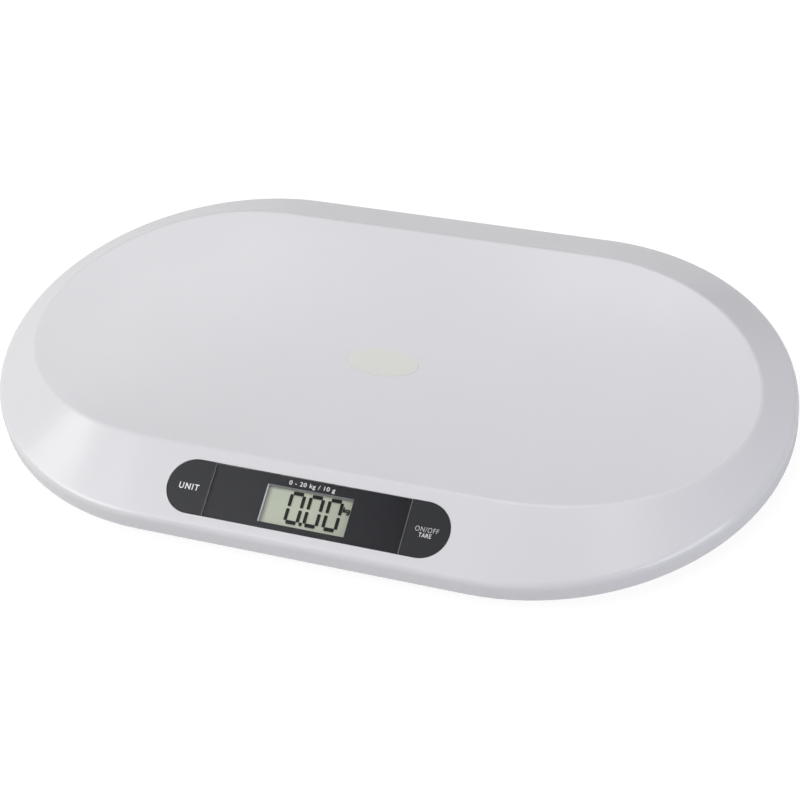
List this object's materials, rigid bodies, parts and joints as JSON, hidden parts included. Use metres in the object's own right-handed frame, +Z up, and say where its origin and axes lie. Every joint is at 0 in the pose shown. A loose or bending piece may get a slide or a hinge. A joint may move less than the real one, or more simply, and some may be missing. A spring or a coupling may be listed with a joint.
{
  "type": "digital baby scale",
  "caption": "Flat oblong digital weighing scale with a dished platform, bevelled rim, front display panel, press keys, sprung load-cell feet and a battery door.",
  "frame": {"origin": "on the floor under the middle of the outline", "axes": "+Z up, +X along the scale towards its right end seen from the display side, -Y towards the display side"},
  "size_m": [0.55, 0.328, 0.0438],
  "materials": {
    "badge_inlay": "plain off-white inlay",
    "base_abs": "fine-textured moulded ABS, white",
    "battery_sleeve": "plain printed sleeve",
    "board_laminate": "green glass-epoxy laminate",
    "cell_steel": "ground alloy steel",
    "chip_resin": "black epoxy resin",
    "clear_lens": "clear moulded acrylic",
    "contact_nickel": "nickel plating",
    "cover_abs": "moulded gloss ABS, white",
    "display_glass": "grey-green reflective liquid crystal cell",
    "elastomer": "conductive elastomer strip",
    "foot_abs": "moulded ABS, white",
    "foot_rubber": "soft grey rubber",
    "inner_abs": "moulded ABS, natural white",
    "key_abs": "charcoal satin-gloss ABS",
    "mask_print": "charcoal printed film",
    "socket_nylon": "natural nylon",
    "switch_plunger": "moulded acetal",
    "switch_shell": "moulded nylon",
    "zinc_steel": "bright zinc plating"
  },
  "bodies": {
    "housing": {"badge": "badge_inlay", "base_cover": "base_abs", "battery_back": "battery_sleeve", "battery_contacts": "contact_nickel", "battery_front": "battery_sleeve", "battery_springs": "contact_nickel", "board_screws": "zinc_steel", "cell_tray_back_left": "inner_abs", "cell_tray_back_right": "inner_abs", "cell_tray_front_left": "inner_abs", "cell_tray_front_right": "inner_abs", "chip_cap": "chip_resin", "contact_strips": "elastomer", "display_lens": "clear_lens", "housing_screws": "zinc_steel", "lcd_frame": "inner_abs", "lcd_glass": "display_glass", "lead_sockets": "socket_nylon", "lens_mask": "mask_print", "load_cell_back_left": "cell_steel", "load_cell_back_right": "cell_steel", "load_cell_front_left": "cell_steel", "load_cell_front_right": "cell_steel", "main_board": "board_laminate", "power_switch": "switch_shell", "top_cover": "cover_abs", "tray_screws": "zinc_steel", "unit_switch": "switch_shell"},
    "unit_key_body": {"unit_key": "key_abs"},
    "power_key_body": {"power_key": "key_abs"},
    "unit_switch_stem_body": {"unit_switch_stem": "switch_plunger"},
    "power_switch_stem_body": {"power_switch_stem": "switch_plunger"},
    "battery_door_body": {"battery_door": "base_abs"},
    "foot_front_left": {"foot_cup_front_left": "foot_abs", "foot_pad_front_left": "foot_rubber"},
    "foot_front_right": {"foot_cup_front_right": "foot_abs", "foot_pad_front_right": "foot_rubber"},
    "foot_back_left": {"foot_cup_back_left": "foot_abs", "foot_pad_back_left": "foot_rubber"},
    "foot_back_right": {"foot_cup_back_right": "foot_abs", "foot_pad_back_right": "foot_rubber"}
  },
  "joints": [
    {"name": "unit_key_press", "type": "slide", "parent": "housing", "child": "unit_key_body", "axis": [0, 0.4122, -0.9111], "range_m": [0, 0.0006], "stiffness_N_per_m": 900, "springref_m": -0.0006},
    {"name": "unit_switch_press", "type": "slide", "parent": "housing", "child": "unit_switch_stem_body", "axis": [0, 0.4122, -0.9111], "range_m": [0, 0.0006]},
    {"name": "power_key_press", "type": "slide", "parent": "housing", "child": "power_key_body", "axis": [0, 0.4122, -0.9111], "range_m": [0, 0.0006], "stiffness_N_per_m": 900, "springref_m": -0.0006},
    {"name": "power_switch_press", "type": "slide", "parent": "housing", "child": "power_switch_stem_body", "axis": [0, 0.4122, -0.9111], "range_m": [0, 0.0006]},
    {"name": "foot_front_left_load", "type": "slide", "parent": "housing", "child": "foot_front_left", "axis": [0, 0, 1], "range_m": [0, 0.0005], "stiffness_N_per_m": 12000, "springref_m": -0.0006, "deforming": ["load_cell_front_left"]},
    {"name": "foot_front_right_load", "type": "slide", "parent": "housing", "child": "foot_front_right", "axis": [0, 0, 1], "range_m": [0, 0.0005], "stiffness_N_per_m": 12000, "springref_m": -0.0006, "deforming": ["load_cell_front_right"]},
    {"name": "foot_back_left_load", "type": "slide", "parent": "housing", "child": "foot_back_left", "axis": [0, 0, 1], "range_m": [0, 0.0005], "stiffness_N_per_m": 12000, "springref_m": -0.0006, "deforming": ["load_cell_back_left"]},
    {"name": "foot_back_right_load", "type": "slide", "parent": "housing", "child": "foot_back_right", "axis": [0, 0, 1], "range_m": [0, 0.0005], "stiffness_N_per_m": 12000, "springref_m": -0.0006, "deforming": ["load_cell_back_right"]},
    {"name": "battery_door_swing", "type": "hinge", "parent": "housing", "child": "battery_door_body", "pos_m": [0, 0.0354, 0.0075], "axis": [-1, 0, 0], "range_deg": [0, 80]}
  ],
  "couplings": [
    {"joint": "unit_switch_press", "follows": "unit_key_press", "ratio": 1},
    {"joint": "power_switch_press", "follows": "power_key_press", "ratio": 1}
  ]
}
